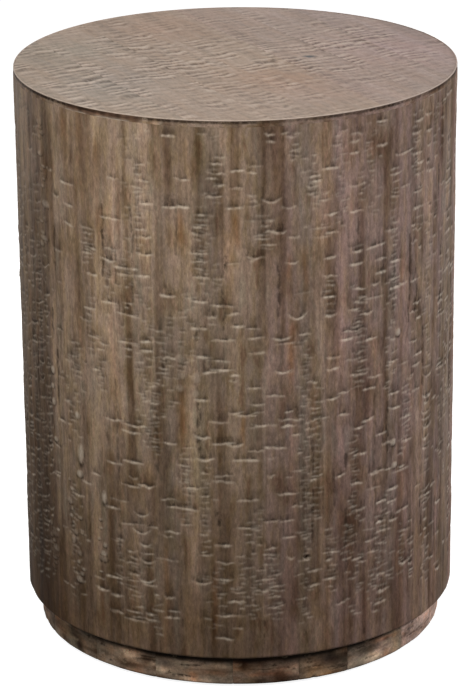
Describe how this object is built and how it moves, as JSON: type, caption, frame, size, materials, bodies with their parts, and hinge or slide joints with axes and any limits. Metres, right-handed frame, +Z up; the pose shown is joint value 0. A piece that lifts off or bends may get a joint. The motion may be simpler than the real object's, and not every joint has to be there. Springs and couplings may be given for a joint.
{
  "type": "drum side table",
  "caption": "Round drum side table with a hollow wall of rough-hewn upright staves, a flat board top and a set-back plinth ring, for standing things on.",
  "frame": {"origin": "on the floor, at the drum's axis, under the glides", "axes": "+Z up along the drum's axis; -Y is the front that the picture shows, +X to its right"},
  "size_m": [0.381, 0.381, 0.508],
  "materials": {
    "stave_wood": "rough-hewn, grey-brown stain, matte wax",
    "top_wood": "sanded over saw marks, grey-brown stain, matte wax",
    "plinth_wood": "brown stain, matte wax",
    "plywood": "unfinished birch plywood",
    "screw_steel": "yellow zinc plate",
    "nail_steel": "bright steel",
    "nylon": "dark brown moulded nylon"
  },
  "bodies": {
    "root": {"stave_01": "stave_wood", "stave_02": "stave_wood", "stave_03": "stave_wood", "stave_04": "stave_wood", "stave_05": "stave_wood", "stave_06": "stave_wood", "stave_07": "stave_wood", "stave_08": "stave_wood", "stave_09": "stave_wood", "stave_10": "stave_wood", "stave_11": "stave_wood", "stave_12": "stave_wood", "stave_13": "stave_wood", "stave_14": "stave_wood", "stave_15": "stave_wood", "stave_16": "stave_wood", "stave_17": "stave_wood", "stave_18": "stave_wood", "stave_19": "stave_wood", "stave_20": "stave_wood", "stave_21": "stave_wood", "stave_22": "stave_wood", "stave_23": "stave_wood", "stave_24": "stave_wood", "stave_25": "stave_wood", "stave_26": "stave_wood", "top_board_1": "top_wood", "top_board_2": "top_wood", "top_board_3": "top_wood", "top_board_4": "top_wood", "top_board_5": "top_wood", "top_board_6": "top_wood", "top_board_7": "top_wood", "plinth_block_01": "plinth_wood", "plinth_block_02": "plinth_wood", "plinth_block_03": "plinth_wood", "plinth_block_04": "plinth_wood", "plinth_block_05": "plinth_wood", "plinth_block_06": "plinth_wood", "plinth_block_07": "plinth_wood", "plinth_block_08": "plinth_wood", "plinth_block_09": "plinth_wood", "plinth_block_10": "plinth_wood", "plinth_block_11": "plinth_wood", "plinth_block_12": "plinth_wood", "plinth_block_13": "plinth_wood", "plinth_block_14": "plinth_wood", "plinth_block_15": "plinth_wood", "plinth_block_16": "plinth_wood", "plinth_block_17": "plinth_wood", "plinth_block_18": "plinth_wood", "top_disc": "plywood", "upper_hoop": "plywood", "lower_hoop": "plywood", "base_board": "plywood", "top_screws": "screw_steel", "plinth_screws": "screw_steel", "glide_nails": "nail_steel", "glides": "nylon"}
  },
  "joints": []
}
